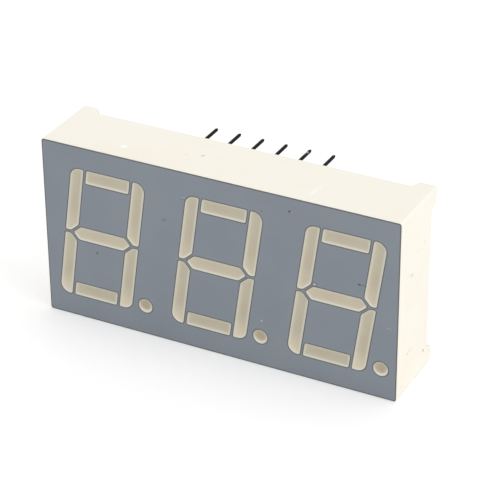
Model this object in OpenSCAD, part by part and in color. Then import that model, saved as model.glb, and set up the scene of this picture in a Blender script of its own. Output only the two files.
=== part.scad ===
// Three-digit seven segment LED display with round pins.
// Millimetres, +Z up. It stands on its lower side wall and its face looks along -Y.
// The origin is the centre of the lower side wall.

/* [Housing] */
// Distance from the outer decimal point's edge to the nearer end of the housing
end_border = 0.9; // [0.75:0.05:4]
// Distance from a pin row's centre line to the nearer long side of the housing
row_border = 1.88; // [1.6:0.02:5]
// Thickness of the side walls behind the reflector block
wall_thickness = 0.9; // [0.5:0.05:1]
// Depth of the reflector block, from the front plane
block_depth = 4.4; // [3.8:0.05:4.7]
// Radius of the four long corners
corner_radius = 0.25; // [0.1:0.05:0.6]
// Chamfer round the front face
front_chamfer = 0.06; // [0.05:0.01:0.2]

/* [Corner feet] */
// Height of the feet behind the side walls' back edge
foot_height = 1.0; // [0.3:0.1:2]
// Length of each foot along the walls, at the walls' back edge
foot_length = 2.1; // [1.4:0.1:5]
// Slope of a foot's inner sides: how much shorter its tip is
foot_taper = 0.4; // [0:0.05:0.5]

/* [Digits] */
// Distance between the centres of neighbouring digits
digit_pitch = 12.5; // [11.5:0.05:20]
// Height of a digit
digit_height = 14.2; // [12:0.1:20]
// Width of a digit, measured along a horizontal line
digit_width = 8.1; // [7:0.1:9]
// Lean of the digits to the right, in degrees
slant = 8; // [0:0.5:10]
// Width of the upright bars, measured along a horizontal line
upright_bar = 1.35; // [1.1:0.05:1.5]
// Height of the level bars
level_bar = 1.42; // [1.1:0.02:1.6]
// Gap between neighbouring bars
bar_gap = 0.34; // [0.2:0.02:0.5]
// Distance between the two tips of the middle bar
middle_bar_length = 6.3; // [5.9:0.1:6.7]
// Radius of the digit's outer corners
digit_corner_radius = 0.95; // [0.4:0.05:1.2]
// Diameter of the decimal point
point_diameter = 1.5; // [1.3:0.05:1.6]
// Distance from the digit's side to the decimal point's centre, along the display
point_gap = 0.6; // [0.5:0.05:0.8]
// Height of the decimal point's centre over the digit's lower edge
point_rise = 0.8; // [0.7:0.05:1.2]

/* [Face] */
// Thickness of the grey coat on the front
ink_thickness = 0.06; // [0.03:0.01:0.15]
// Bare edge left round the grey coat
ink_margin = 0.04; // [0.02:0.02:0.4]

/* [Light cells] */
// Depth of each cell's straight front part
cell_front_depth = 1.2; // [0.6:0.1:2]
// Inward step behind the straight part, on each side
cell_step = 0.1; // [0.05:0.01:0.15]
// Distance from a bar's end to the tapered part of its cell
cell_end_margin = 0.5; // [0.2:0.05:0.7]
// Length of each cell's opening at the circuit board
cell_back_length = 1.6; // [1.2:0.1:2.4]

/* [Circuit board] */
// Thickness of the circuit board
board_thickness = 1.0; // [0.6:0.1:1.2]
// Gap round the board's edge, which the resin fills
board_clearance = 0.15; // [0.1:0.05:0.2]
// Thickness of the resin between the reflector block and the board
front_resin = 0.2; // [0.12:0.02:0.4]
// Thickness of the resin over the board's back
back_resin = 0.8; // [0.7:0.05:2]
// Depth of the resin's back surface below the side walls' back edge
resin_recess = 0.6; // [0.3:0.1:0.8]
// Thickness of the copper
copper_thickness = 0.035; // [0.018:0.001:0.07]
// Width of the tracks
track_width = 0.4; // [0.2:0.05:0.6]
// Distance between neighbouring tracks' centre lines
track_pitch = 1.2; // [0.9:0.05:1.6]
// Distance that the tracks run along the board
track_run = 5.0; // [2:0.5:7]
// Bare board left between a digit's copper and the digit's upper and lower edges
common_inset = 0.3; // [0.1:0.05:0.5]
// Reach of a digit's copper past the centre of its decimal point
common_reach = 0.3; // [0.1:0.05:0.4]
// Diameter of the pads at the tracks' ends
via_diameter = 0.7; // [0.65:0.05:0.8]

/* [Pins] */
// Number of pins in each row
pins_per_row = 6; // [2:2:6]
// Distance between neighbouring pins in a row
pin_pitch = 2.54; // [2.2:0.01:2.8]
// Distance from a digit's upper or lower edge to the nearer pin row
row_offset = 0.52; // [0.4:0.01:3]
// Diameter of a pin behind its shank
pin_diameter = 0.35; // [0.3:0.05:0.45]
// Diameter of the shank at the board's front, where the pin is thickest
shank_diameter = 0.5; // [0.46:0.02:0.6]
// How far behind the side walls' back edge the shank's taper ends
shank_reach = 0.2; // [0.15:0.05:0.6]
// Length of a pin behind the tips of the feet
pin_reach = 4.5; // [2.5:0.1:12]
// Length of a pin's tapered tip
pin_tip_length = 0.25; // [0.1:0.05:0.6]
// Diameter of the holes in the board
pin_hole_diameter = 0.8; // [0.7:0.05:0.85]
// Diameter of the copper pad round each hole
pin_pad_diameter = 1.04; // [0.98:0.02:1.1]
// Height of the solder over the board's back
solder_height = 0.5; // [0.3:0.05:0.6]
// Width of the solder's upper edge round the shank
solder_rim = 0.05; // [0.02:0.01:0.08]
// Edge of the copper pad that the solder leaves bare
pad_rim = 0.05; // [0.02:0.01:0.08]

/* [LED chips] */
// Width of a chip
chip_width = 0.3; // [0.2:0.01:0.34]
// Height of a chip
chip_height = 0.25; // [0.15:0.01:0.3]
// Thickness of the adhesive film under a chip
adhesive_thickness = 0.03; // [0.02:0.01:0.05]
// Width of the adhesive that shows on each side of a chip
adhesive_rim = 0.03; // [0.01:0.01:0.04]
// Distance from a chip's centre to its bond pad's centre
bond_span = 0.6; // [0.56:0.02:0.7]
// Width of a bond pad
bond_pad_width = 0.34; // [0.3:0.02:0.4]
// Gap in the copper round a bond pad
bond_pad_gap = 0.12; // [0.1:0.01:0.14]
// Diameter of a bond wire
wire_diameter = 0.04; // [0.03:0.01:0.05]
// Diameter of the flattened ball at each end of a bond wire
ball_diameter = 0.12; // [0.08:0.01:0.14]
// Height of the flattened ball
ball_height = 0.03; // [0.02:0.01:0.04]

/* [Hidden] */
$fn = 48;
digit_count = 3;
segments = ["a", "b", "c", "d", "e", "f", "g", "dp"];
pin_count = 2 * pins_per_row;

// The body is as large as the digits, points and pins need, with their borders
half_width = digit_width / 2;
half_height = digit_height / 2;
point_offset = half_width + point_gap;
row_spacing = digit_height + 2 * row_offset;
body_height = row_spacing + 2 * row_border;
body_width = (digit_count - 1) * digit_pitch + 2 * point_offset + point_diameter + 2 * end_border;
wall_depth = block_depth + front_resin + board_thickness + back_resin + resin_recess;

// Planes across the depth, from the front to the back
face_y = -wall_depth / 2;
plastic_y = face_y + ink_thickness;
cell_step_y = face_y + cell_front_depth;
block_back_y = face_y + block_depth;
board_front_y = block_back_y + front_resin;
board_back_y = board_front_y + board_thickness;
wall_back_y = face_y + wall_depth;
resin_back_y = board_back_y + back_resin;
shank_end_y = wall_back_y + shank_reach;
foot_tip_y = wall_back_y + foot_height;
pin_tip_y = foot_tip_y + pin_reach;
chip_seat_y = board_front_y - copper_thickness - adhesive_thickness;
chip_top_y = chip_seat_y - chip_height;

centre_z = body_height / 2;
lean = tan(slant);
// Half lengths of the level bars, and of the middle bar to its tips
level_half = half_width - upright_bar - bar_gap;
middle_half = middle_bar_length / 2;
// The upright bars' chamfers run beside the middle bar's, one gap away
chamfer_sum = middle_half + bar_gap * sqrt(2);
// How far a cut runs past the surface that it opens
past = 1;

function digit_x(digit) = (digit - (digit_count + 1) / 2) * digit_pitch;

// A point of a digit that stands upright, moved to where the lean puts it
function leaning(p) = [p[0] + p[1] * lean, p[1]];

// Pins are numbered along the lower row and back along the upper one
function pin_column(pin) = pin <= pins_per_row ? pin : pin_count + 1 - pin;
function pin_x(pin) = (pin_column(pin) - (pins_per_row + 1) / 2) * pin_pitch;
function pin_side(pin) = pin <= pins_per_row ? -1 : 1;
function pin_z(pin) = centre_z + pin_side(pin) * row_spacing / 2;

// A flat outline in X and Z, made into a solid that starts at y_start and runs back
module along_y(y_start, y_end) {
    translate([0, y_end, 0])
        rotate([90, 0, 0])
            linear_extrude(height = y_end - y_start)
                children();
}

module rounded_rectangle(width, height, radius) {
    square([width - 2 * radius, height], center = true);
    square([width, height - 2 * radius], center = true);
    for (side = [-1, 1], level = [-1, 1])
        translate([side * (width / 2 - radius), level * (height / 2 - radius)])
            circle(r = radius);
}

module body_outline() {
    translate([0, centre_z])
        rounded_rectangle(body_width, body_height, corner_radius);
}

// The space inside the side walls, less a gap all round
module cavity_outline(gap) {
    inset = 2 * (wall_thickness + gap);
    translate([0, centre_z])
        square([body_width - inset, body_height - inset], center = true);
}

// Points where a rounded corner meets the digit's leaning side and its level edge
function corner_centre(side, level) = leaning([
    side * (half_width - digit_corner_radius / cos(slant)),
    level * (half_height - digit_corner_radius)
]);
function corner_on_side(side, level) =
    corner_centre(side, level) + side * digit_corner_radius * [cos(slant), -sin(slant)];
function corner_on_edge(side, level) = corner_centre(side, level) + [0, level * digit_corner_radius];

module digit_outline() {
    polygon([
        corner_on_side(-1, -1), corner_on_side(-1, 1), corner_on_edge(-1, 1), corner_on_edge(1, 1),
        corner_on_side(1, 1), corner_on_side(1, -1), corner_on_edge(1, -1), corner_on_edge(-1, -1)
    ]);
    for (side = [-1, 1], level = [-1, 1])
        translate(corner_centre(side, level))
            circle(r = digit_corner_radius);
}

module level_bar_outline(level) {
    outer = level * half_height;
    inner = level * (half_height - level_bar);
    polygon([for (p = [[-level_half, inner], [-level_half, outer], [level_half, outer], [level_half, inner]])
        leaning(p)]);
}

module middle_bar_outline() {
    half_bar = level_bar / 2;
    shoulder = middle_half - half_bar;
    polygon([for (p = [
        [-middle_half, 0], [-shoulder, half_bar], [shoulder, half_bar],
        [middle_half, 0], [shoulder, -half_bar], [-shoulder, -half_bar]
    ]) leaning(p)]);
}

module upright_bar_outline(side, level) {
    inner = half_width - upright_bar;
    foot = bar_gap / 2;
    intersection() {
        digit_outline();
        polygon([for (p = [
            [half_width, foot], [half_width, half_height], [inner, half_height],
            [inner, chamfer_sum - inner], [chamfer_sum - foot, foot]
        ]) leaning([side * p[0], level * p[1]])]);
    }
}

module segment_outline(segment) {
    if (segment == "a") level_bar_outline(1);
    if (segment == "b") upright_bar_outline(1, 1);
    if (segment == "c") upright_bar_outline(1, -1);
    if (segment == "d") level_bar_outline(-1);
    if (segment == "e") upright_bar_outline(-1, -1);
    if (segment == "f") upright_bar_outline(-1, 1);
    if (segment == "g") middle_bar_outline();
    if (segment == "dp") translate([point_offset, point_rise - half_height]) circle(d = point_diameter);
}

// Where a segment's chip cell is centred, before the lean
function bar_centre(segment) =
    let (
        level = half_height - level_bar / 2,
        upright = [half_width - upright_bar / 2, half_height / 2]
    )
    segment == "a" ? [0, level] :
    segment == "b" ? upright :
    segment == "c" ? [upright[0], -upright[1]] :
    segment == "d" ? [0, -level] :
    segment == "e" ? -upright :
    segment == "f" ? [-upright[0], upright[1]] :
    [0, 0];
function cell_centre(segment) =
    segment == "dp" ? [point_offset, point_rise - half_height] : leaning(bar_centre(segment));

// The level cells run along X, and all others follow the digit's leaning sides
function is_level(segment) = segment == "a" || segment == "d" || segment == "g";
function cell_angle(segment) = is_level(segment) ? 0 : 90 - slant;
function cell_length(segment) =
    is_level(segment) ? 2 * (level_half - cell_end_margin) : half_height - level_bar - 2 * cell_end_margin;
function cell_width(segment) =
    (is_level(segment) ? level_bar : upright_bar * cos(slant)) - 2 * cell_step;

// Children drawn round a segment's centre, with the length of its cell along X
module at_cell(digit, segment) {
    centre = cell_centre(segment);
    translate([digit_x(digit) + centre[0], 0, centre_z + centre[1]])
        rotate([0, -cell_angle(segment), 0])
            children();
}

module each_cell() {
    for (digit = [1:digit_count], index = [0:len(segments) - 1]) {
        $digit = digit;
        $segment = segments[index];
        children();
    }
}

// The straight front part of one cell, from the given plane back to the step
module cell_front(digit, segment, y_start) {
    along_y(y_start, cell_step_y)
        translate([digit_x(digit), centre_z])
            segment_outline(segment);
}

// The part of one cell that tapers towards its chip
module cell_taper(digit, segment) {
    at_cell(digit, segment) {
        if (segment == "dp") {
            translate([0, block_back_y, 0])
                rotate([90, 0, 0])
                    cylinder(d = point_diameter - 2 * cell_step, h = block_back_y - cell_step_y);
        } else {
            front = cell_length(segment) / 2;
            back = cell_back_length / 2;
            linear_extrude(height = cell_width(segment), center = true)
                polygon([
                    [-front, cell_step_y], [front, cell_step_y],
                    [back, block_back_y], [-back, block_back_y]
                ]);
        }
    }
}

module cells(y_start) {
    each_cell() {
        cell_front($digit, $segment, y_start);
        cell_taper($digit, $segment);
    }
}

// The housing's outer shape, to the tips of the feet, with its front edges chamfered
module housing_envelope() {
    half = body_width / 2;
    intersection() {
        along_y(plastic_y, foot_tip_y)
            body_outline();
        linear_extrude(height = body_height)
            polygon([
                [-half, foot_tip_y], [-half, plastic_y + front_chamfer], [-half + front_chamfer, plastic_y],
                [half - front_chamfer, plastic_y], [half, plastic_y + front_chamfer], [half, foot_tip_y]
            ]);
        rotate([90, 0, 90])
            linear_extrude(height = body_width, center = true)
                polygon([
                    [foot_tip_y, 0], [plastic_y + front_chamfer, 0], [plastic_y, front_chamfer],
                    [plastic_y, body_height - front_chamfer], [plastic_y + front_chamfer, body_height],
                    [foot_tip_y, body_height]
                ]);
    }
}

// The gap between two feet along a side of the given length, wider towards their tips
module foot_gap_outline(side_length) {
    base = side_length / 2 - foot_length;
    tip = base + foot_taper * (1 + past / foot_height);
    polygon([
        [-base, wall_back_y], [base, wall_back_y],
        [tip, foot_tip_y + past], [-tip, foot_tip_y + past]
    ]);
}

module foot_gaps() {
    translate([0, 0, -past])
        linear_extrude(height = body_height + 2 * past)
            foot_gap_outline(body_width);
    translate([0, 0, centre_z])
        rotate([0, 90, 0])
            linear_extrude(height = body_width + 2 * past, center = true)
                foot_gap_outline(body_height);
}

module housing() {
    color([0.97, 0.94, 0.89])
        difference() {
            housing_envelope();
            along_y(block_back_y, foot_tip_y + past)
                cavity_outline(0);
            foot_gaps();
            cells(face_y);
        }
}

module face_ink() {
    margin = front_chamfer + ink_margin;
    color([0.51, 0.54, 0.57])
        along_y(face_y, plastic_y)
            difference() {
                translate([0, centre_z])
                    square([body_width - 2 * margin, body_height - 2 * margin], center = true);
                each_cell()
                    translate([digit_x($digit), centre_z])
                        segment_outline($segment);
            }
}

module epoxy_fill() {
    color([0.78, 0.76, 0.70])
        difference() {
            union() {
                cells(face_y);
                along_y(block_back_y, resin_back_y)
                    cavity_outline(0);
            }
            board_blank();
            front_copper();
            back_copper();
            solder_joints();
            chip_adhesive();
            each_cell()
                chip($digit, $segment);
            for (digit = [1:digit_count])
                bond_wires(digit);
            for (number = [1:pin_count])
                pin(number);
        }
}

// The board before its holes are drilled
module board_blank() {
    along_y(board_front_y, board_back_y)
        cavity_outline(board_clearance);
}

module at_pin_outline(pin) {
    translate([pin_x(pin), pin_z(pin)])
        children();
}

module pin_rings() {
    for (number = [1:pin_count])
        at_pin_outline(number)
            difference() {
                circle(d = pin_pad_diameter);
                circle(d = pin_hole_diameter);
            }
}

module circuit_board() {
    color([0.82, 0.80, 0.62])
        along_y(board_front_y, board_back_y)
            difference() {
                cavity_outline(board_clearance);
                for (number = [1:pin_count])
                    at_pin_outline(number)
                        circle(d = pin_hole_diameter);
            }
}

// A square in the plane of the board, beside a cell's centre and turned with the cell
module cell_square(digit, segment, along, width) {
    centre = cell_centre(segment);
    translate([digit_x(digit) + centre[0], centre_z + centre[1]])
        rotate(cell_angle(segment))
            translate([along, 0])
                square(width, center = true);
}

module digit_common_outline(digit) {
    translate([digit_x(digit), centre_z])
        square([2 * (point_offset + common_reach), 2 * (half_height - common_inset)], center = true);
}

module front_copper() {
    color([0.80, 0.52, 0.28])
        along_y(board_front_y - copper_thickness, board_front_y) {
            difference() {
                for (digit = [1:digit_count])
                    digit_common_outline(digit);
                each_cell()
                    cell_square($digit, $segment, bond_span / 2, bond_pad_width + 2 * bond_pad_gap);
            }
            each_cell()
                cell_square($digit, $segment, bond_span / 2, bond_pad_width);
            pin_rings();
        }
}

// Tracks from each row, nested so that none crosses another
module fan_out(pin) {
    outward = pin_x(pin) > 0 ? 1 : -1;
    depth = pins_per_row / 2 + 0.5 - abs(pin_x(pin)) / pin_pitch;
    drop = pin_pad_diameter / 2 + depth * track_pitch;
    inward = -pin_side(pin);
    translate([-track_width / 2, min(0, inward * drop)])
        difference() {
            square([track_width, drop]);
            translate([track_width / 2, inward > 0 ? 0 : drop])
                circle(d = pin_hole_diameter);
        }
    translate([0, inward * drop]) {
        translate([outward > 0 ? -track_width / 2 : -track_run, -track_width / 2])
            square([track_run + track_width / 2, track_width]);
        translate([outward * track_run, 0])
            circle(d = via_diameter);
    }
}

module back_copper() {
    color([0.80, 0.52, 0.28])
        along_y(board_back_y, board_back_y + copper_thickness) {
            pin_rings();
            for (number = [1:pin_count])
                at_pin_outline(number)
                    fan_out(number);
        }
}

module pin(number) {
    straight_end_y = pin_tip_y - pin_tip_length;
    start_y = board_front_y - copper_thickness;
    tip_diameter = pin_diameter / 2;
    color([0.20, 0.16, 0.15])
        translate([pin_x(number), 0, pin_z(number)]) {
            translate([0, straight_end_y, 0]) {
                rotate([90, 0, 0])
                    cylinder(d = pin_diameter, h = straight_end_y - shank_end_y);
                rotate([-90, 0, 0])
                    cylinder(d1 = pin_diameter, d2 = tip_diameter, h = pin_tip_length);
            }
            translate([0, start_y, 0])
                rotate([-90, 0, 0])
                    cylinder(d1 = shank_diameter, d2 = pin_diameter, h = shank_end_y - start_y);
        }
}

module solder_joint(pin) {
    start_y = board_front_y - copper_thickness;
    pad_y = board_back_y + copper_thickness;
    foot_diameter = pin_pad_diameter - 2 * pad_rim;
    top_diameter = shank_diameter + 2 * solder_rim;
    difference() {
        translate([pin_x(pin), pad_y, pin_z(pin)]) {
            rotate([90, 0, 0])
                cylinder(d = pin_hole_diameter, h = pad_y - start_y);
            rotate([-90, 0, 0])
                cylinder(d1 = foot_diameter, d2 = top_diameter, h = solder_height);
        }
        pin(pin);
    }
}

module solder_joints() {
    color([0.72, 0.73, 0.75])
        for (number = [1:pin_count])
            solder_joint(number);
}

// A block that stands on the plane seat_y and rises towards the face
module block_on(seat_y, width, height) {
    translate([-width / 2, seat_y - height, -width / 2])
        cube([width, height, width]);
}

module chip(digit, segment) {
    color([0.85, 0.62, 0.30])
        at_cell(digit, segment)
            translate([-bond_span / 2, 0, 0])
                block_on(chip_seat_y, chip_width, chip_height);
}

module chip_adhesive() {
    color([0.75, 0.76, 0.78])
        each_cell()
            at_cell($digit, $segment)
                translate([-bond_span / 2, 0, 0])
                    block_on(
                        board_front_y - copper_thickness,
                        chip_width + 2 * adhesive_rim,
                        adhesive_thickness
                    );
}

// A gold wire: a ball on the chip, half a turn over to the pad, and a straight leg down to it
module bond_wire() {
    radius = bond_span / 2;
    turn_y = chip_top_y - ball_height;
    pad_y = board_front_y - copper_thickness;
    translate([-radius, turn_y, 0])
        rotate([-90, 0, 0])
            cylinder(d = ball_diameter, h = ball_height);
    translate([0, turn_y, 0])
        rotate([180, 0, 0])
            rotate_extrude(angle = 180)
                translate([radius, 0])
                    circle(d = wire_diameter);
    translate([radius, turn_y, 0])
        rotate([-90, 0, 0])
            cylinder(d = wire_diameter, h = pad_y - turn_y);
    translate([radius, pad_y - ball_height, 0])
        rotate([-90, 0, 0])
            cylinder(d = ball_diameter, h = ball_height);
}

module bond_wires(digit) {
    color([0.90, 0.72, 0.30])
        for (segment = segments)
            at_cell(digit, segment)
                bond_wire();
}

housing();
face_ink();
epoxy_fill();
circuit_board();
front_copper();
back_copper();
solder_joints();
chip_adhesive();
for (number = [1:pin_count])
    pin(number);
for (digit = [1:digit_count], segment = segments)
    chip(digit, segment);
for (digit = [1:digit_count])
    bond_wires(digit);
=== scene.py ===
# %% [markdown]
# # A three-digit LED display
# This display is a white plastic box, about as wide as two fingers. Its grey face has twenty-one bars
# and three points of milky resin, and twelve thin wire pins stand out of its back.
# The construction model gives every size. This script finishes the surfaces, and builds anew what a
# construction model can't show: the drawn-back edge of the paint, the sunken skin of cast resin, and the
# rounded ends of the pins.

# %% Load the construction model
import math

import bmesh
import bpy
from mathutils import Matrix, Vector


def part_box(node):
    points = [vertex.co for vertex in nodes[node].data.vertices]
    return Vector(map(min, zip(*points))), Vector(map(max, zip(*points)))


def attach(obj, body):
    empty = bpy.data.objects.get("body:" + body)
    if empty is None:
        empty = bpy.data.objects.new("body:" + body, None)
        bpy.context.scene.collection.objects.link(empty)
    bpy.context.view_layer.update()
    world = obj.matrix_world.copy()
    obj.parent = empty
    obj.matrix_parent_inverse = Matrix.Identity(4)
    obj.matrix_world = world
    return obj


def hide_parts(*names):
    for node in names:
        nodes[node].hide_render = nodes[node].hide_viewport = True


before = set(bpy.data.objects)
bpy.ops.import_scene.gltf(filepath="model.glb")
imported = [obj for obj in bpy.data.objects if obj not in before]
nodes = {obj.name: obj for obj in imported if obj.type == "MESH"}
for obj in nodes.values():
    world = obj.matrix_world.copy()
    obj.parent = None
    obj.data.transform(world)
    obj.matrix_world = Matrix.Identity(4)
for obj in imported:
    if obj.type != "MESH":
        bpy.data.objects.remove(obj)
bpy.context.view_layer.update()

MM = 0.001

# %% [markdown]
# The planes and places that new pieces need come from the boxes of the construction nodes, so none of
# them is fitted by eye. The face looks along -Y, the pins point along +Y, and the display stands on its
# lower side wall.

# %% Planes and places
housing_low, housing_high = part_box("housing")
ink_low, ink_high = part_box("face_ink")
resin_low, resin_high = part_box("epoxy_fill")
pin_low, pin_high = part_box("pin_1")

FACE_Y = ink_low[1]
FOOT_HEIGHT = 1.0 * MM
WALL_BACK_Y = housing_high[1] - FOOT_HEIGHT
BOARD_BACK_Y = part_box("circuit_board")[1][1]
RESIN_BACK_Y = resin_high[1]
CENTRE_Z = (housing_low[2] + housing_high[2]) / 2
PIN_NAMES = ["pin_%d" % number for number in range(1, 13)]
DIGITS = (1, 2, 3)
SEGMENTS = ("a", "b", "c", "d", "e", "f", "g", "dp")


def middle(node):
    """The centre of a construction node's box."""
    low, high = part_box(node)
    return (Vector(low) + Vector(high)) / 2


print("face at", round(FACE_Y / MM, 2), "mm, resin's back at", round(RESIN_BACK_Y / MM, 2), "mm")

# %% [markdown]
# ## The camera
# The photograph was taken with a long lens from the front right, a little above. A long lens keeps
# the far end of the housing almost as tall as the near end. The angles, the distance and the tiny
# roll were worked out from the housing's corners, so the render lines up with the photograph.

# %% Camera
VIEW_AZIMUTH = math.radians(27.374)
VIEW_ELEVATION = math.radians(30.052)
VIEW_ROLL = math.radians(-0.403)
VIEW_DISTANCE = 207.05 * MM
VIEW_TARGET = Vector((1.547, 0.5, 9.837)) * MM
LENS = 156.3
SENSOR = 36.0
NEAR_CLIP = 0.01


def camera_matrix():
    """The camera's place and turn, from the angles round its target."""
    toward_camera = Vector((
        math.sin(VIEW_AZIMUTH) * math.cos(VIEW_ELEVATION),
        -math.cos(VIEW_AZIMUTH) * math.cos(VIEW_ELEVATION),
        math.sin(VIEW_ELEVATION),
    ))
    right = Vector((math.cos(VIEW_AZIMUTH), math.sin(VIEW_AZIMUTH), 0.0))
    up = toward_camera.cross(right)
    turned_right = math.cos(VIEW_ROLL) * right + math.sin(VIEW_ROLL) * up
    turned_up = math.cos(VIEW_ROLL) * up - math.sin(VIEW_ROLL) * right
    turn = Matrix((turned_right, turned_up, toward_camera)).transposed().to_4x4()
    return Matrix.Translation(VIEW_TARGET + toward_camera * VIEW_DISTANCE) @ turn


camera_data = bpy.data.cameras.new("camera")
camera_data.lens = LENS
camera_data.sensor_width = SENSOR
camera_data.clip_start = NEAR_CLIP
camera = bpy.data.objects.new("camera", camera_data)
camera.matrix_world = camera_matrix()
bpy.context.scene.collection.objects.link(camera)
bpy.context.scene.camera = camera
print("camera at", [round(v / MM, 1) for v in camera.location], "mm")

# %% [markdown]
# ## Helpers for materials
# A colour is picked from the photograph as red, green and blue from 0 to 255. Blender's shaders want
# linear light, so each one is converted. Every material starts from one Principled BSDF.

# %% Colours
SRGB_KNEE = 0.04045
SRGB_SLOPE = 12.92
SRGB_OFFSET = 0.055
SRGB_POWER = 2.4


def linear(red, green, blue):
    """A screen colour as the linear colour that a shader wants, by the standard curve."""
    def channel(value):
        share = value / 255.0
        if share <= SRGB_KNEE:
            return share / SRGB_SLOPE
        return ((share + SRGB_OFFSET) / (1 + SRGB_OFFSET)) ** SRGB_POWER
    return (channel(red), channel(green), channel(blue), 1.0)


# %% Materials
CLOUD_LOW = 0.3
CLOUD_HIGH = 0.7


class Finish:
    """A material with its Principled BSDF, and short ways to add nodes to it."""

    def __init__(self, name, **sockets):
        self.material = bpy.data.materials.new(name)
        self.material.use_nodes = True
        self.tree = self.material.node_tree
        self.shader = self.tree.nodes["Principled BSDF"]
        for socket, value in sockets.items():
            self.shader.inputs[socket.replace("_", " ")].default_value = value
        self.place = self.tree.nodes.new("ShaderNodeTexCoord").outputs["Object"]

    def node(self, kind, **settings):
        """A new node with the given settings."""
        made = self.tree.nodes.new(kind)
        for key, value in settings.items():
            setattr(made, key, value)
        return made

    def group(self, group, **inputs):
        """A node group placed in this material, with its inputs set or linked."""
        made = self.node("ShaderNodeGroup", node_tree=group)
        for key, value in inputs.items():
            self.feed(value, made.inputs[key.replace("_", " ")])
        return made

    def feed(self, value, socket):
        """Links an output to a socket, or sets a plain value on it."""
        if isinstance(value, bpy.types.NodeSocket):
            self.tree.links.new(value, socket)
        else:
            socket.default_value = value

    def blend(self, first, second, share, mode="MIX"):
        """Two colours mixed by a share."""
        mix = self.node("ShaderNodeMix", data_type="RGBA", blend_type=mode)
        self.feed(share, mix.inputs[0])
        self.feed(first, mix.inputs[6])
        self.feed(second, mix.inputs[7])
        return mix.outputs[2]

    def ramp(self, value, low, high, out_low=0.0, out_high=1.0):
        """A value spread smoothly from one range to another."""
        spread = self.node("ShaderNodeMapRange", interpolation_type="SMOOTHSTEP")
        for socket, given in zip(spread.inputs, (value, low, high, out_low, out_high)):
            self.feed(given, socket)
        return spread.outputs[0]

    def value(self, name):
        """A value that is stored on the piece's mesh."""
        return self.node("ShaderNodeAttribute", attribute_name=name).outputs["Fac"]

    def product(self, first, second):
        """Two values multiplied."""
        times = self.node("ShaderNodeMath", operation="MULTIPLY")
        self.feed(first, times.inputs[0])
        self.feed(second, times.inputs[1])
        return times.outputs[0]

    def clouds(self, size, low=0.0, high=1.0, detail=3.0):
        """Soft blotches of the given size, as a value from low to high."""
        return self.ramp(self.noise(size, detail), CLOUD_LOW, CLOUD_HIGH, low, high)

    def grain(self, size, smooth, rough, relief):
        """A fine grain that varies the roughness and raises the surface."""
        texture = self.noise(size, 2.0)
        roughness = self.ramp(texture, CLOUD_LOW, CLOUD_HIGH, smooth, rough)
        self.feed(roughness, self.shader.inputs["Roughness"])
        self.bump(texture, relief)

    def noise(self, size, detail=3.0):
        """Noise whose blotches are about the given size across."""
        texture = self.node("ShaderNodeTexNoise")
        self.feed(self.place, texture.inputs["Vector"])
        texture.inputs["Scale"].default_value = 1.0 / size
        texture.inputs["Detail"].default_value = detail
        return texture.outputs["Fac"]

    def bump(self, height, distance, strength=1.0):
        """A bump of the given height, fed to the shader."""
        relief = self.node("ShaderNodeBump")
        relief.inputs["Strength"].default_value = strength
        relief.inputs["Distance"].default_value = distance
        self.feed(height, relief.inputs["Height"])
        self.feed(relief.outputs["Normal"], self.shader.inputs["Normal"])


def dress(piece, *finishes):
    """Gives a piece its materials, in the order of its faces' material numbers."""
    slots = piece.data.materials
    for number, finish in enumerate(finishes):
        if number < len(slots):
            slots[number] = finish.material
        else:
            slots.append(finish.material)


print("material helpers are ready")

# %% [markdown]
# ## Helpers for pieces
# A new piece starts from operators, or from a copy of a construction node's mesh. At the end every piece
# gets smooth shading with sharp edges kept, its materials, and its place on the display's one body.

# %% Pieces
WELD_DISTANCE = 0.0005 * MM
SHARP_ANGLE = math.radians(35)


def merged_copy(node):
    """A bmesh of a construction node with its triangles joined."""
    copy = bmesh.new()
    copy.from_mesh(nodes[node].data)
    bmesh.ops.remove_doubles(copy, verts=copy.verts, dist=WELD_DISTANCE)
    return copy


def finished_piece(name, mesh, slot, *finishes):
    """Makes an object of a bmesh, smooth, with its materials, riding on the body."""
    data = bpy.data.meshes.new(name)
    mesh.to_mesh(data)
    mesh.free()
    data.shade_smooth()
    data.set_sharp_from_angle(angle=SHARP_ANGLE)
    piece = bpy.data.objects.new(name, data)
    bpy.context.scene.collection.objects.link(piece)
    dress(piece, *finishes)
    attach(piece, "root")
    return piece


print("piece helpers are ready")

# %% [markdown]
# ## Small marks
# A used moulding has specks, scuffs and a stray line or two. Each mark is a soft ellipsoid in the
# display's own coordinates: inside it the mask is 1, and it fades out at its skin. One node group
# does this for every material, and a chain of them adds up to all the marks of a surface.

# %% A group that masks one mark
MARK_CORE = 0.4


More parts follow.
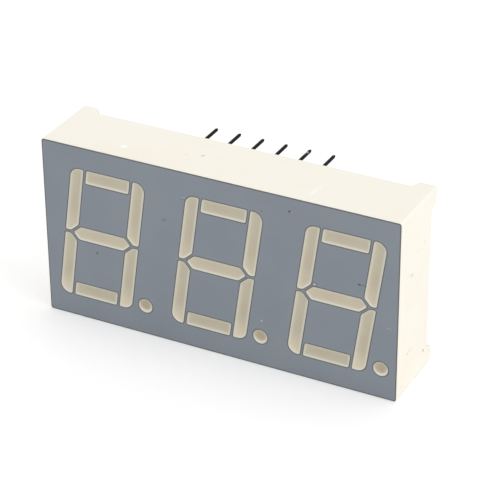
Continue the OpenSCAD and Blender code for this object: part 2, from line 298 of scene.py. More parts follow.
def mark_group():
    """The node group that adds one soft ellipsoid to a mask."""
    group = bpy.data.node_groups.new("soft mark", "ShaderNodeTree")
    sides = group.interface
    sides.new_socket("Place", in_out="INPUT", socket_type="NodeSocketVector")
    sides.new_socket("Centre", in_out="INPUT", socket_type="NodeSocketVector")
    sides.new_socket("Radii", in_out="INPUT", socket_type="NodeSocketVector")
    sides.new_socket("Strength", in_out="INPUT", socket_type="NodeSocketFloat")
    sides.new_socket("Before", in_out="INPUT", socket_type="NodeSocketFloat")
    sides.new_socket("Mask", in_out="OUTPUT", socket_type="NodeSocketFloat")
    start = group.nodes.new("NodeGroupInput")
    end = group.nodes.new("NodeGroupOutput")
    offset = group.nodes.new("ShaderNodeVectorMath")
    offset.operation = "SUBTRACT"
    scaled = group.nodes.new("ShaderNodeVectorMath")
    scaled.operation = "DIVIDE"
    length = group.nodes.new("ShaderNodeVectorMath")
    length.operation = "LENGTH"
    fade = group.nodes.new("ShaderNodeMapRange")
    fade.interpolation_type = "SMOOTHSTEP"
    fade.inputs["From Min"].default_value = 1.0
    fade.inputs["From Max"].default_value = MARK_CORE
    total = group.nodes.new("ShaderNodeMath")
    total.operation = "MAXIMUM"
    link = group.links.new
    link(start.outputs["Place"], offset.inputs[0])
    link(start.outputs["Centre"], offset.inputs[1])
    link(offset.outputs[0], scaled.inputs[0])
    link(start.outputs["Radii"], scaled.inputs[1])
    link(scaled.outputs[0], length.inputs[0])
    link(length.outputs["Value"], fade.inputs["Value"])
    link(start.outputs["Strength"], fade.inputs["To Max"])
    link(fade.outputs[0], total.inputs[0])
    link(start.outputs["Before"], total.inputs[1])
    link(total.outputs[0], end.inputs["Mask"])
    return group


SOFT_MARK = mark_group()


def marks(finish, places):
    """A mask of all the given marks: each is a centre, its radii and its strength, in millimetres."""
    mask = 0.0
    for centre, radii, strength in places:
        mark = finish.group(
            SOFT_MARK,
            Place=finish.place,
            Centre=Vector(centre) * MM,
            Radii=Vector(radii) * MM,
            Strength=strength,
            Before=mask,
        )
        mask = mark.outputs["Mask"]
    return mask


print("soft marks are ready")

# %% [markdown]
# ## The housing
# The housing is moulded in one piece from a warm white plastic that lets no light through. Its skin is
# satin, with a very fine orange peel. A mould can't make a razor edge, so a Bevel modifier rounds every
# edge of the construction mesh by a few hundredths of a millimetre. The mesh itself stays as it is:
# Weld joins its loose triangles, Decimate clears the flat ones, and then the bevel has clean edges.

# %% Rounded edges for a construction node
FLAT_ANGLE = math.radians(0.5)
EDGE_ANGLE = math.radians(40)


def soften(piece, radius, segments=3):
    """Rounds the edges of a construction node with modifiers."""
    weld = piece.modifiers.new("weld", "WELD")
    weld.merge_threshold = WELD_DISTANCE
    clear = piece.modifiers.new("clear flats", "DECIMATE")
    clear.decimate_type = "DISSOLVE"
    clear.angle_limit = FLAT_ANGLE
    bevel = piece.modifiers.new("round edges", "BEVEL")
    bevel.width = radius
    bevel.segments = segments
    bevel.limit_method = "ANGLE"
    bevel.angle_limit = EDGE_ANGLE
    bevel.harden_normals = True


# %% Housing finish
HOUSING_COLOUR = linear(248, 243, 231)
HOUSING_SHADE = linear(243, 235, 216)
HOUSING_LIGHT = linear(255, 254, 250)
HOUSING_MARK = linear(150, 140, 130)
EDGE_FADE = 0.18 * MM
EDGE_HIGHLIGHT = 0.9
EDGE_RADIUS = 0.05 * MM
TOP_Z = housing_high[2] / MM
RIGHT_X = housing_high[0] / MM
HOUSING_LIGHT_MARKS = [
    ((-10.84, -1.46, TOP_Z), (0.55, 0.35, 0.3), 0.95),
    ((9.16, -1.7, TOP_Z), (0.18, 0.42, 0.3), 0.85),
    ((9.27, -1.1, TOP_Z), (0.16, 0.42, 0.3), 0.85),
    ((9.36, -0.5, TOP_Z), (0.14, 0.4, 0.3), 0.7),
]
HOUSING_MARKS = [
    ((-3.21, 0.23, TOP_Z), (0.22, 0.2, 0.3), 0.5),
    ((-4.7, -0.3, TOP_Z), (0.2, 0.09, 0.3), 0.25),
    ((RIGHT_X, -0.72, 12.3), (0.3, 0.5, 0.1), 0.45),
    ((RIGHT_X, -0.62, 12.05), (0.3, 0.42, 0.07), 0.35),
    ((RIGHT_X, -1.4, 12.6), (0.3, 0.25, 0.08), 0.3),
    ((RIGHT_X, 2.15, 14.34), (0.3, 0.16, 0.12), 0.45),
    ((RIGHT_X, 1.59, 13.89), (0.3, 0.16, 0.07), 0.35),
    ((RIGHT_X, 0.7, 14.07), (0.3, 0.2, 0.07), 0.25),
    ((RIGHT_X, -0.66, 4.07), (0.3, 0.7, 0.09), 0.3),
    ((RIGHT_X, -1.15, 3.98), (0.3, 0.22, 0.12), 0.4),
    ((RIGHT_X, 2.73, 2.15), (0.3, 0.17, 0.2), 0.95),
]


def housing_finish():
    """Warm white satin plastic with faint blotches, a painted highlight along the front edge and a few
    marks.
    """
    plastic = Finish("warm white plastic", Specular_IOR_Level=0.4)
    blotch = plastic.ramp(plastic.noise(6 * MM), low=0.35, high=0.75, out_high=0.35)
    colour = plastic.blend(HOUSING_COLOUR, HOUSING_SHADE, blotch)
    colour = plastic.blend(colour, HOUSING_LIGHT, marks(plastic, HOUSING_LIGHT_MARKS))
    colour = plastic.blend(colour, HOUSING_MARK, marks(plastic, HOUSING_MARKS))
    depth = plastic.node("ShaderNodeSeparateXYZ")
    plastic.feed(plastic.place, depth.inputs[0])
    # Painted highlight: the plastic is made paler next to the face's front edge, as if that edge caught the
    # light.
    edge = plastic.ramp(depth.outputs["Y"], FACE_Y + EDGE_FADE, FACE_Y, out_high=EDGE_HIGHLIGHT)
    colour = plastic.blend(colour, HOUSING_LIGHT, edge)
    plastic.feed(colour, plastic.shader.inputs["Base Color"])
    plastic.grain(size=0.12 * MM, smooth=0.38, rough=0.48, relief=0.004 * MM)
    return plastic


plastic = housing_finish()
dress(nodes["housing"], plastic)
soften(nodes["housing"], EDGE_RADIUS)
print("the housing has", len(HOUSING_MARKS), "marks")

# %% [markdown]
# ## Outlines of the bars
# Twenty-one bars and three points show in the face. Their outlines are read from the front of the
# construction model's resin, and the sharp corners get the small radius that a milling cutter leaves in
# a mould. The grey coat and the resin are both built on these outlines, so they meet without a gap.

# %% Flat fronts of the bars
WINDOW_ROUND = 0.16 * MM
SHARP_CORNER = math.radians(30)
FACING = 0.9


def is_front(face):
    """Whether a face lies in the front plane and looks towards -Y."""
    level = all(abs(vert.co.y - FACE_Y) < WELD_DISTANCE for vert in face.verts)
    return level and face.normal.y < -FACING


def round_corners(flat, corners, radius, segments):
    """Rounds corners of flat faces."""
    bmesh.ops.bevel(
        flat, geom=corners, offset=radius, segments=segments, profile=0.5,
        affect="VERTICES", material=-1, clamp_overlap=True,
    )


def front_skins():
    """The flat fronts of the resin, one face for each bar or point."""
    skins = merged_copy("epoxy_fill")
    skins.normal_update()
    others = [face for face in skins.faces if not is_front(face)]
    bmesh.ops.delete(skins, geom=others, context="FACES")
    inner = [edge for edge in skins.edges if len(edge.link_faces) == 2]
    bmesh.ops.dissolve_edges(skins, edges=inner, use_verts=False)
    corners = [loop.vert for face in skins.faces for loop in face.loops
               if math.pi - loop.calc_angle() > SHARP_CORNER]
    round_corners(skins, corners, WINDOW_ROUND, segments=3)
    return skins


skins = front_skins()
print(len(skins.faces), "fronts of resin")

# %% [markdown]
# ## The grey coat
# The face is coated grey, so that unlit bars stand out less and the room's light isn't thrown back. The
# coat is a thin film with a slightly dusty, satin surface. Specks of dust and short scratches break it up.
# Its front is filled between the outlines, and inset twice: a hair's breadth for the rounded edge, and
# then the width of a narrow darker line along every edge. That line is partly painted shade at the edge,
# and partly paint that draws back from an edge and dries thicker. A value on the mesh marks that line for
# the colour. At last the outlines are extruded back, and closed.

# %% Grey coat finish
FACE = FACE_Y / MM
LEFT_X = housing_low[0] / MM
INK_COLOUR = linear(136, 143, 152)
INK_LIGHT = linear(140, 147, 155)
INK_RIM_SHADE = linear(104, 106, 104)
INK_DARK_MARK = linear(60, 58, 56)
INK_LIGHT_MARK = linear(196, 198, 198)


def on_face(from_left, from_top):
    """A point of the face, measured from its upper left corner in millimetres."""
    return (LEFT_X + from_left, FACE, TOP_Z - from_top)


DARK_SPECKS = [
    (on_face(26.48, 1.47), (0.17, 0.3, 0.15), 0.85),
    (on_face(5.72, 11.24), (0.15, 0.3, 0.15), 0.75),
    (on_face(13.3, 5.62), (0.26, 0.3, 0.22), 0.3),
    (on_face(33.6, 7.32), (0.22, 0.3, 0.14), 0.8),
    (on_face(34.0, 7.34), (0.6, 0.3, 0.07), 0.5),
    (on_face(29.08, 8.5), (0.32, 0.3, 0.3), 0.5),
    (on_face(23.64, 2.11), (0.13, 0.3, 0.2), 0.3),
    (on_face(15.3, 2.9), (0.4, 0.3, 0.06), 0.35),
]
LIGHT_SPECKS = [
    (on_face(29.08, 8.5), (0.19, 0.3, 0.17), 1.0),
    (on_face(23.6, 13.97), (0.15, 0.3, 0.13), 0.85),
    (on_face(26.75, 1.5), (0.1, 0.3, 0.1), 0.3),
    (on_face(36.6, 11.18), (0.35, 0.3, 0.05), 0.5),
    (on_face(15.4, 2.74), (0.36, 0.3, 0.06), 0.5),
]


def ink_finish():
    """Satin grey coat with dust and specks."""
    ink = Finish("grey coat", Specular_IOR_Level=0.35)
    cloud = ink.ramp(ink.noise(5 * MM, 4.0), low=0.3, high=0.75)
    colour = ink.blend(INK_COLOUR, INK_LIGHT, cloud)
    # The darker rim along every edge is partly painted shade and partly paint that dried thicker there.
    colour = ink.blend(colour, INK_RIM_SHADE, ink.ramp(ink.value("rim"), low=0.0, high=0.62))
    colour = ink.blend(colour, INK_DARK_MARK, marks(ink, DARK_SPECKS))
    colour = ink.blend(colour, INK_LIGHT_MARK, marks(ink, LIGHT_SPECKS))
    dust = ink.ramp(ink.noise(0.25 * MM, 1.0), low=0.74, high=0.8, out_high=0.35)
    colour = ink.blend(colour, INK_LIGHT_MARK, dust)
    ink.feed(colour, ink.shader.inputs["Base Color"])
    ink.grain(size=0.08 * MM, smooth=0.45, rough=0.58, relief=0.003 * MM)
    return ink


# %% Grey coat mesh
INK_MARGIN = 0.03 * MM
INK_EDGE = 0.012 * MM
INK_RIM = 0.14 * MM
OUTER_ROUND = 0.22 * MM
QUARTER_TURN = math.pi / 2


def coat_outlines():
    """The coat's outer outline and the outlines of its windows, as loops of edges."""
    outlines = skins.copy()
    width = housing_high[0] - housing_low[0] - 2 * INK_MARGIN
    height = housing_high[2] - housing_low[2] - 2 * INK_MARGIN
    upright = Matrix.Translation((0, FACE_Y, CENTRE_Z)) @ Matrix.Rotation(QUARTER_TURN, 4, "X")
    placed = upright @ Matrix.Diagonal((width, height, 1, 1))
    plate = bmesh.ops.create_grid(outlines, x_segments=1, y_segments=1, size=0.5, matrix=placed)
    round_corners(outlines, plate["verts"], OUTER_ROUND, segments=5)
    bmesh.ops.delete(outlines, geom=list(outlines.faces), context="FACES_ONLY")
    return outlines


def fill_outlines(mesh, edges, normal):
    """Fills a plane between closed loops of edges, and gives the new faces."""
    filled = bmesh.ops.triangle_fill(
        mesh, edges=edges, use_beauty=True, use_dissolve=False, normal=normal)
    return [item for item in filled["geom"] if isinstance(item, bmesh.types.BMFace)]


def coat_mesh():
    """The grey coat, with a rounded front edge and a marked rim round every window."""
    coat = coat_outlines()
    rim_layer = coat.verts.layers.float.new("rim")
    front = fill_outlines(coat, list(coat.edges), (0, -1, 0))
    bmesh.ops.recalc_face_normals(coat, faces=front)
    if front[0].normal.y > 0:
        bmesh.ops.reverse_faces(coat, faces=front)
    outline = list(coat.verts)
    bmesh.ops.inset_region(coat, faces=front, thickness=INK_EDGE, use_boundary=True, use_even_offset=True)
    bmesh.ops.translate(coat, verts=outline, vec=(0, INK_EDGE, 0))
    bmesh.ops.inset_region(coat, faces=front, thickness=INK_RIM, use_boundary=True, use_even_offset=True)
    for vert in coat.verts:
        vert[rim_layer] = 1.0
    for vert in {vert for face in front for vert in face.verts}:
        vert[rim_layer] = 0.0
    open_edges = [edge for edge in coat.edges if edge.is_boundary]
    sides = bmesh.ops.extrude_edge_only(coat, edges=open_edges)["geom"]
    back_edges = [item for item in sides if isinstance(item, bmesh.types.BMEdge) and item.is_boundary]
    back = [item for item in sides if isinstance(item, bmesh.types.BMVert)]
    for vert in back:
        vert.co.y = ink_high[1]
    fill_outlines(coat, back_edges, (0, 1, 0))
    bmesh.ops.recalc_face_normals(coat, faces=coat.faces)
    return coat


coat = finished_piece("face_coat", coat_mesh(), "face_ink", ink_finish())
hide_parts("face_ink")
print("the coat has", len(coat.data.polygons), "faces")

# %% [markdown]
# ## The resin
# Milky epoxy is cast into the cells from behind while the face lies on a film. As it cures it shrinks,
# so each bar's skin sinks a little in its middle and clings to the cell's rim. The light in the bars is
# painted into their colour: white plastic shows through where the resin is thin, and that pale rim is
# painted light. Light from above reaches the lower end of an upright cell, so the upright bars are
# painted paler at their feet.
# Each outline becomes a short block that planes cut into a fine net. The net's points are lowered by
# their distance from the rim, and what the colour depends on is stored at them as values.

# %% Cut the fronts into a fine net
CELL_DEPTH = 1.0 * MM
NET_PITCH = 0.16 * MM
NET_WELD = 0.003 * MM


def cut_into_net(mesh, low, high, pitch):
    """Cuts a mesh along X and Z by evenly spaced planes."""
    for axis in (Vector((1, 0, 0)), Vector((0, 0, 1))):
        start = low.dot(axis)
        count = max(1, round((high.dot(axis) - start) / pitch))
        for step in range(1, count):
            plane = axis * (start + step * (high.dot(axis) - start) / count)
            everything = list(mesh.verts) + list(mesh.edges) + list(mesh.faces)
            bmesh.ops.bisect_plane(mesh, geom=everything, plane_co=plane, plane_no=axis)
    bmesh.ops.remove_doubles(mesh, verts=mesh.verts, dist=NET_WELD)


def bar_block(outline):
    """One bar as a short block behind its front, cut into a net."""
    block = bmesh.new()
    corners = [block.verts.new(point) for point in outline]
    front = block.faces.new(corners)
    front.normal_update()
    if front.normal.y > 0:
        front.normal_flip()
    back = bmesh.ops.extrude_face_region(block, geom=[front], use_keep_orig=True)
    moved = [item for item in back["geom"] if isinstance(item, bmesh.types.BMVert)]
    bmesh.ops.translate(block, verts=moved, vec=(0, CELL_DEPTH, 0))
    bmesh.ops.recalc_face_normals(block, faces=block.faces)
    low = Vector(min(p[axis] for p in outline) for axis in range(3))
    high = Vector(max(p[axis] for p in outline) for axis in range(3))
    cut_into_net(block, low, high, NET_PITCH)
    return block


# %% Distances on a bar
SINK = 0.11 * MM
SINK_REACH = 0.5 * MM


def way_from_outline(point, outline):
    """The way in the face's plane from the nearest place on an outline to a point."""
    nearest = Vector((1.0, 1.0))
    for start, end in zip(outline, outline[1:] + outline[:1]):
        along = Vector((end.x - start.x, end.z - start.z))
        to_point = Vector((point.x - start.x, point.z - start.z))
        share = max(0.0, min(1.0, to_point.dot(along) / along.length_squared))
        way = to_point - along * share
        if way.length < nearest.length:
            nearest = way
    return nearest


def smooth(share):
    """A share from 0 to 1, eased at both ends."""
    share = max(0.0, min(1.0, share))
    return share * share * (3 - 2 * share)


def chip_place(outline):
    """The centre of the LED chip that lies behind an outline."""
    centre = sum(outline, Vector()) / len(outline)
    chips = [middle("chip_%d_%s" % (digit, segment)) for digit in DIGITS for segment in SEGMENTS]
    return min(chips, key=lambda chip: Vector((chip.x - centre.x, chip.z - centre.z)).length)


# %% Sink the skins and store what the colour depends on
LAYERS = ("rim", "lit", "chip", "point", "shine")
POINT_SPAN = 2.0 * MM
POINT_LIGHT_LEAN = Vector((0.03, 0, -0.22))
SHINE_REACH = 2.8 * MM
SHINE_LOWER_BARS = 0.95
SHINE_UPPER_BARS = 0.5
SHINE_MIDDLE_BARS = 0.3


def cell_shine(height, centre, is_upright):
    """How much of its lit cell wall shines through a bar, at a height above the bar's lowest point."""
    from_middle = centre.z - CENTRE_Z
    if is_upright:
        strength = SHINE_UPPER_BARS if from_middle > 0 else SHINE_LOWER_BARS
        return strength * smooth(1.0 - height / SHINE_REACH)
    return SHINE_MIDDLE_BARS if abs(from_middle) < POINT_SPAN else 0.0


def shape_bar(block, outline):
    """Sinks a bar's skin, and stores what the colour depends on at each of its points."""
    layer = {name: block.verts.layers.float[name] for name in LAYERS}
    chip = chip_place(outline)
    lowest = min(vert.z for vert in outline)
    span = max(vert.z for vert in outline) - lowest
    width = max(vert.x for vert in outline) - min(vert.x for vert in outline)
    is_point = float(max(span, width) < POINT_SPAN)
    centre = sum(outline, Vector()) / len(outline)
    for vert in block.verts:
        way = way_from_outline(vert.co, outline)
        rim = way.length
        # In a point the pale rim is shifted towards its lower side, for a painted crescent of light.
        lean = is_point * POINT_LIGHT_LEAN.dot(centre - vert.co)
        vert[layer["rim"]] = (rim + lean) / MM
        # Which way the nearest rim lies, for the painted light that is strongest on a bar's lower rim.
        vert[layer["lit"]] = way.y / rim if rim > WELD_DISTANCE else 0.0
        vert[layer["chip"]] = Vector((vert.co.x - chip.x, vert.co.z - chip.z)).length / MM
        vert[layer["point"]] = is_point
        vert[layer["shine"]] = cell_shine(vert.co.z - lowest, centre, span > width)
        if abs(vert.co.y - FACE_Y) < WELD_DISTANCE:
            vert.co.y += SINK * smooth(rim / SINK_REACH)


resin = bmesh.new()
for layer in LAYERS:
    resin.verts.layers.float.new(layer)
for face in skins.faces:
    outline = [vert.co.copy() for vert in face.verts]
    block = bar_block(outline)
    for layer in LAYERS:
        block.verts.layers.float.new(layer)
    shape_bar(block, outline)
    piece_mesh = bpy.data.meshes.new("bar")
    block.to_mesh(piece_mesh)
    block.free()
    resin.from_mesh(piece_mesh)
    bpy.data.meshes.remove(piece_mesh)
skins.free()
print(len(resin.faces), "faces in the sunken fronts")

# %% [markdown]
# Behind the board the resin lies open. Before it cured it crept up the walls and up each pin, and
# left a small fillet there. The slab's back is cut into a net too, and its points are raised near the
# walls and the pins.

# %% The slab behind the board
SLAB_PITCH = 0.3 * MM
WALL_CREEP = 0.42 * MM
WALL_CREEP_REACH = 0.4 * MM
PIN_CREEP = 0.34 * MM
PIN_CREEP_REACH = 0.2 * MM
SHANK_RADIUS = 0.25 * MM
RIPPLE = 0.05 * MM
RIPPLE_LENGTH = 5.5 * MM
SLAB_OVERLAP = 0.03 * MM
FINER_NEAR_PIN = 0.8 * MM


def creep(height, distance, reach):
    """Height of a fillet of resin at a distance from what it clings to."""
    return height * math.exp(-max(0.0, distance) / reach)


def slab_rise(x, z):
    """How far the slab's back stands out at a point."""
    from_wall = min(x - slab_low.x, slab_high.x - x, z - slab_low.z, slab_high.z - z)
    rise = creep(WALL_CREEP, from_wall, WALL_CREEP_REACH)
    for pin in pin_places:
        from_pin = math.hypot(x - pin.x, z - pin.z) - SHANK_RADIUS
        rise = max(rise, creep(PIN_CREEP, from_pin, PIN_CREEP_REACH))
    turn = 2 * math.pi / RIPPLE_LENGTH
    return rise + RIPPLE * math.sin(x * turn) * math.cos(z * turn)


def is_near(face, pin):
    """Whether a face of the slab's back lies close to a pin."""
    centre = face.calc_center_median()
    distance = math.hypot(centre.x - pin.x, centre.z - pin.z)
    return face.normal.y > FACING and distance < FINER_NEAR_PIN


pin_places = [middle(name) for name in PIN_NAMES]
slab_low = Vector((resin_low[0], BOARD_BACK_Y - SLAB_OVERLAP, resin_low[2]))
slab_high = Vector((resin_high[0], RESIN_BACK_Y, resin_high[2]))
slab = bmesh.new()
slab_place = Matrix.Translation((slab_low + slab_high) / 2)
slab_scale = Matrix.Diagonal((*(slab_high - slab_low), 1.0))
bmesh.ops.create_cube(slab, size=1.0, matrix=slab_place @ slab_scale)
cut_into_net(slab, slab_low, slab_high, SLAB_PITCH)
for pin in pin_places:
    edges = list({edge for face in slab.faces if is_near(face, pin) for edge in face.edges})
    bmesh.ops.subdivide_edges(slab, edges=edges, cuts=2, use_grid_fill=True)
for layer in LAYERS:
    slab.verts.layers.float.new(layer)
for vert in slab.verts:
    if abs(vert.co.y - RESIN_BACK_Y) < WELD_DISTANCE:
        vert.co.y += slab_rise(vert.co.x, vert.co.z)
for face in slab.faces:
    face.material_index = 1
slab_mesh = bpy.data.meshes.new("slab")
slab.to_mesh(slab_mesh)
slab.free()
resin.from_mesh(slab_mesh)
bpy.data.meshes.remove(slab_mesh)
print(len(resin.faces), "faces in the whole casting")

# %% [markdown]
# The resin's colour follows the stored values. Next to the rim it is nearly white. This is painted light
# from the white wall, strongest on the bar's lower side, where light from above falls. Further in it turns
# greyish beige, a painted shade, and round the chip it has a very faint pinkish brown patch. The points
# are browner, a painted shade, but for a painted pale crescent of light at their lower side. Over the board
# the resin is thin enough for the tracks to show, so that material is part see-through, and lets most of
# the lamps' light reach the board.

# %% Resin finishes
PAINTED_RIM_LIGHT = linear(232, 229, 216)
BAR_COLOUR = linear(201, 193, 171)
PAINTED_DEEP_SHADE = linear(197, 189, 165)
SHINE_COLOUR = linear(228, 214, 190)
CHIP_COLOUR = linear(196, 170, 148)
PAINTED_POINT_SHADE = linear(186, 173, 148)
FILM_COLOUR = linear(238, 234, 220)
FILM_LIGHT = linear(243, 240, 229)
FILM_SHADOW = 0.2
# Each fade runs from its first distance to its second, in millimetres from the rim or the chip.
RIM_FADE = (0.34, 0.02)
DEEP_FADE = (0.15, 0.6)
CHIP_FADE = (1.3, 0.2)
CHIP_RIM_FADE = (0.1, 0.4)
POINT_FADE = (0.04, 0.5)
CHIP_STRENGTH = 0.12
FAR_SIDE_GLOW = 0.15
DEEP_LEAST = 0.35


def resin_finish():
    """Milky resin: painted light at the rim, strongest on the lower side, and painted shade further in,
    towards the chip.
    """
    milk = Finish("milky resin", Roughness=0.3, Specular_IOR_Level=0.5)
    rim = milk.value("rim")
    # Painted shade: the resin darkens away from the rim, as if deeper in the cell.
    depth_shade = milk.product(milk.ramp(rim, *DEEP_FADE), milk.clouds(1.4 * MM, low=DEEP_LEAST))
    near_chip = milk.ramp(milk.value("chip"), *CHIP_FADE, out_high=CHIP_STRENGTH)
    patch = milk.product(near_chip, milk.ramp(rim, *CHIP_RIM_FADE))
    # Painted light: the pale rim glows most on the lower side, where light from above falls on the cell
    # wall.
    lit = milk.ramp(milk.value("lit"), low=-1.0, high=1.0, out_low=FAR_SIDE_GLOW)
    glow = milk.product(milk.ramp(rim, *RIM_FADE), lit)
    # Painted shade in the points, with a painted pale crescent of light at their lower side.
    in_point = milk.product(milk.value("point"), milk.ramp(rim, *POINT_FADE))
    colour = milk.blend(BAR_COLOUR, PAINTED_DEEP_SHADE, depth_shade)
    colour = milk.blend(colour, SHINE_COLOUR, milk.value("shine"))
    colour = milk.blend(colour, CHIP_COLOUR, patch)
    colour = milk.blend(colour, PAINTED_RIM_LIGHT, glow)
    colour = milk.blend(colour, PAINTED_POINT_SHADE, in_point)
    milk.feed(colour, milk.shader.inputs["Base Color"])
    milk.bump(milk.noise(0.4 * MM), 0.006 * MM)
    return milk


def back_resin_finish():
    """The same resin where it is a thin layer over the board."""
    film = Finish("thin resin", Roughness=0.18, Specular_IOR_Level=0.5)
    colour = film.blend(FILM_COLOUR, FILM_LIGHT, film.clouds(7 * MM))
    film.feed(colour, film.shader.inputs["Base Color"])
    cover = film.clouds(9 * MM, low=0.5, high=0.56, detail=1.0)
    is_shadow = film.node("ShaderNodeLightPath").outputs["Is Shadow Ray"]
    kept = film.ramp(is_shadow, low=0.0, high=1.0, out_low=1.0, out_high=FILM_SHADOW)
    film.feed(film.product(cover, kept), film.shader.inputs["Alpha"])
    film.bump(film.noise(0.8 * MM), 0.008 * MM)
    return film


# %% Finish the casting
casting = finished_piece("resin_casting", resin, "epoxy_fill", resin_finish(), back_resin_finish())
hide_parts("epoxy_fill")
print("the casting's skins sink by", round(SINK / MM, 3), "mm")

# %% [markdown]
# ## The pins
# Each pin is a length of drawn wire with a thicker shank, cut off at its tip. Its profile is turned
# round its own axis, as on a lathe. The wire is shiny tin, but it is painted a brownish black that hardly
# shines, as a painted dark reflection. A painted highlight near one tip stands in for a glint.

# %% Turn a pin
PIN_RADIUS = 0.175 * MM
PIN_EDGE = 0.03 * MM
SHANK_END_Y = WALL_BACK_Y + 0.2 * MM
TIP_TAPER = 0.25 * MM
TIP_RADIUS = PIN_RADIUS / 2
PIN_STEPS = 20


def turned_pin(axis_x, axis_z, start_y, tip_y):
    """A pin as a profile spun round its axis."""
    profile = [
        (0.0, start_y),
        (SHANK_RADIUS - PIN_EDGE, start_y),
        (SHANK_RADIUS, start_y + PIN_EDGE),
        (PIN_RADIUS, SHANK_END_Y),
        (PIN_RADIUS, tip_y - TIP_TAPER),
        (TIP_RADIUS, tip_y - PIN_EDGE / 2),
        (TIP_RADIUS - PIN_EDGE / 2, tip_y),
        (0.0, tip_y),
    ]
    turned = bmesh.new()
    points = [turned.verts.new((axis_x + radius, y, axis_z)) for radius, y in profile]
    edges = [turned.edges.new(pair) for pair in zip(points, points[1:])]
    bmesh.ops.spin(
        turned, geom=points + edges, cent=(axis_x, 0, axis_z), axis=(0, 1, 0),
        angle=2 * math.pi, steps=PIN_STEPS, use_merge=True,
    )
    bmesh.ops.remove_doubles(turned, verts=turned.verts, dist=WELD_DISTANCE)
    bmesh.ops.recalc_face_normals(turned, faces=turned.faces)
    return turned


# %% Pin finish and the twelve pins
WIRE_DARK_REFLECTION = linear(9, 4, 4)
WIRE_BROWN_REFLECTION = linear(30, 17, 15)
WIRE_GLINT = linear(200, 190, 186)
# Pin 8 gets a painted highlight near its tip, in place of a glint.
glint_pin = middle("pin_8") / MM
WIRE_GLINT_MARKS = [
    ((glint_pin.x, 8.2, glint_pin.z + 0.1), (0.2, 0.22, 0.2), 0.8),
    ((glint_pin.x - 0.05, 7.85, glint_pin.z + 0.15), (0.12, 0.2, 0.12), 0.5),
]


def pin_finish():
    """Tinned wire painted near-black as a dark reflection, with a painted glint near one tip."""
    wire = Finish("dark tinned wire", Specular_IOR_Level=0.04)
    # Painted dark reflection: shiny tinned wire that mirrors a dark surround is painted brownish black.
    colour = wire.blend(WIRE_DARK_REFLECTION, WIRE_BROWN_REFLECTION, wire.clouds(0.6 * MM))
    colour = wire.blend(colour, WIRE_GLINT, marks(wire, WIRE_GLINT_MARKS))
    wire.feed(colour, wire.shader.inputs["Base Color"])
    wire.feed(wire.clouds(0.2 * MM, low=0.3, high=0.45), wire.shader.inputs["Roughness"])
    wire.bump(wire.noise(0.1 * MM), 0.003 * MM)
    return wire


wire = pin_finish()
for name, place in zip(PIN_NAMES, pin_places):
    turned = turned_pin(place.x, place.z, pin_low[1], pin_high[1])
    pin = finished_piece("wire_" + name, turned, "pins", wire)
    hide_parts(name)
print(len(PIN_NAMES), "pins, each", round((pin_high[1] - pin_low[1]) / MM, 2), "mm long")

# %% [markdown]
# ## What the resin hides
# The board, its copper, the solder, the chips and their wires keep their construction meshes. They are
# sealed in, but the board's back shows faintly through the thin resin, so each gets its own finish.

# %% Inner finishes
def speckled(name, first, second, size, relief, **sockets):
    """A finish of two colours in blotches of a size, with a fine bump."""
    finish = Finish(name, **sockets)
    share = finish.ramp(finish.noise(size), low=0.35, high=0.65)
    finish.feed(finish.blend(first, second, share), finish.shader.inputs["Base Color"])
    finish.bump(finish.noise(size / 3), relief)
    return finish


laminate = speckled(
    "glass fibre board", linear(196, 188, 140), linear(214, 206, 160),
    size=0.5 * MM, relief=0.004 * MM, Roughness=0.5)
copper = speckled(
    "copper foil", linear(196, 130, 84), linear(214, 152, 104),
    size=0.8 * MM, relief=0.003 * MM, Metallic=1.0, Roughness=0.35)
solder = speckled(
    "dull solder", linear(170, 172, 176), linear(196, 198, 200),
    size=0.3 * MM, relief=0.006 * MM, Metallic=1.0, Roughness=0.4)
crystal = speckled(
    "chip crystal", linear(190, 140, 70), linear(206, 160, 90),
    size=0.1 * MM, relief=0.002 * MM, Roughness=0.2)
gold = speckled(
    "gold wire", linear(226, 180, 86), linear(240, 200, 110),
    size=0.05 * MM, relief=0.001 * MM, Metallic=1.0, Roughness=0.2)
silver_paste = speckled(
    "silver adhesive", linear(176, 176, 178), linear(196, 196, 198),
    size=0.1 * MM, relief=0.002 * MM, Roughness=0.5)
dress(nodes["circuit_board"], laminate)
for name in ("front_copper", "back_copper"):
    dress(nodes[name], copper)
dress(nodes["solder_joints"], solder)
dress(nodes["chip_adhesive"], silver_paste)
for digit in DIGITS:
    dress(nodes["bond_wires_%d" % digit], gold)
    for segment in SEGMENTS:
        dress(nodes["chip_%d_%s" % (digit, segment)], crystal)
print("inner pieces are dressed")

# %% [markdown]
# ## Floor and light
# The photograph has a pure white ground. The floor is a flat pale sheet, so that it looks the same from
# every side. What the camera sees of it is lifted to white by a little glow that only camera, mirror and
# glass rays meet, and the soft shadow stays.
# The light is soft. It comes from a white room, and from four square lamps: above, right, front and behind.

# %% Floor
FLOOR_SIZE = 3.0
FLOOR_COLOUR = (0.86, 0.86, 0.86, 1.0)
GLOW_NEAR = 0.03
GLOW_FAR = 0.5
GLOW_LOW = 0.25
GLOW_HIGH = 0.6


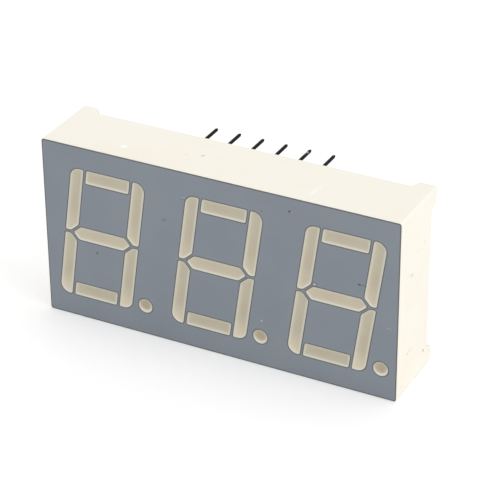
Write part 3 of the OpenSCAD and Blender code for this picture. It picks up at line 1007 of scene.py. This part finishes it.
def floor_finish():
    """Pale floor that the camera sees as white."""
    pale = Finish("pale floor", Roughness=0.9, Specular_IOR_Level=0.0)
    pale.feed(FLOOR_COLOUR, pale.shader.inputs["Base Color"])
    rays = pale.node("ShaderNodeLightPath")
    seen = pale.node("ShaderNodeMath", operation="ADD", use_clamp=True)
    pale.feed(rays.outputs["Is Camera Ray"], seen.inputs[0])
    glossy = pale.node("ShaderNodeMath", operation="ADD", use_clamp=True)
    pale.feed(rays.outputs["Is Glossy Ray"], glossy.inputs[0])
    pale.feed(rays.outputs["Is Transmission Ray"], glossy.inputs[1])
    pale.feed(glossy.outputs[0], seen.inputs[1])
    away = pale.node("ShaderNodeVectorMath", operation="LENGTH")
    pale.feed(pale.place, away.inputs[0])
    glow = pale.ramp(away.outputs["Value"], GLOW_NEAR, GLOW_FAR, GLOW_LOW, GLOW_HIGH)
    pale.shader.inputs["Emission Color"].default_value = (1, 1, 1, 1)
    pale.feed(pale.product(seen.outputs[0], glow), pale.shader.inputs["Emission Strength"])
    return pale


floor_mesh = bmesh.new()
bmesh.ops.create_grid(floor_mesh, x_segments=1, y_segments=1, size=FLOOR_SIZE / 2)
floor_data = bpy.data.meshes.new("floor")
floor_mesh.to_mesh(floor_data)
floor_mesh.free()
floor = bpy.data.objects.new("floor", floor_data)
bpy.context.scene.collection.objects.link(floor)
dress(floor, floor_finish())

# %% Soft light
def soft_box(name, place, size, power):
    """A square area lamp that looks at the display."""
    data = bpy.data.lights.new(name, "AREA")
    data.size = size
    data.energy = power
    lamp = bpy.data.objects.new(name, data)
    lamp.location = Vector(place)
    toward = Vector((0, 0, CENTRE_Z)) - lamp.location
    lamp.rotation_euler = toward.to_track_quat("-Z", "Y").to_euler()
    bpy.context.scene.collection.objects.link(lamp)
    return lamp


soft_box("overhead", place=(0.1, 0.0, 0.6), size=0.5, power=0.8)
soft_box("right", place=(0.6, -0.1, 0.25), size=0.45, power=1.2)
soft_box("front", place=(0.3, -0.6, 0.1), size=0.5, power=0.2)
soft_box("behind", place=(-0.3, 0.55, 0.2), size=0.3, power=0.2)

ROOM_LIGHT = 0.68
ROOM_SEEN = 1.0


def white_room():
    """A world that lights softly, and looks white to the camera and in reflections."""
    world = bpy.data.worlds.new("white room")
    world.use_nodes = True
    tree = world.node_tree
    background = tree.nodes["Background"]
    background.inputs["Color"].default_value = (1, 1, 1, 1)
    rays = tree.nodes.new("ShaderNodeLightPath")
    seen = rays.outputs["Is Camera Ray"]
    for name in ("Is Glossy Ray", "Is Transmission Ray"):
        either = tree.nodes.new("ShaderNodeMath")
        either.operation = "MAXIMUM"
        tree.links.new(seen, either.inputs[0])
        tree.links.new(rays.outputs[name], either.inputs[1])
        seen = either.outputs[0]
    strength = tree.nodes.new("ShaderNodeMapRange")
    strength.inputs["To Min"].default_value = ROOM_LIGHT
    strength.inputs["To Max"].default_value = ROOM_SEEN
    tree.links.new(seen, strength.inputs["Value"])
    tree.links.new(strength.outputs[0], background.inputs["Strength"])
    return world


bpy.context.scene.world = white_room()
bpy.context.scene.view_settings.view_transform = "Standard"
print("four lamps and a white room")
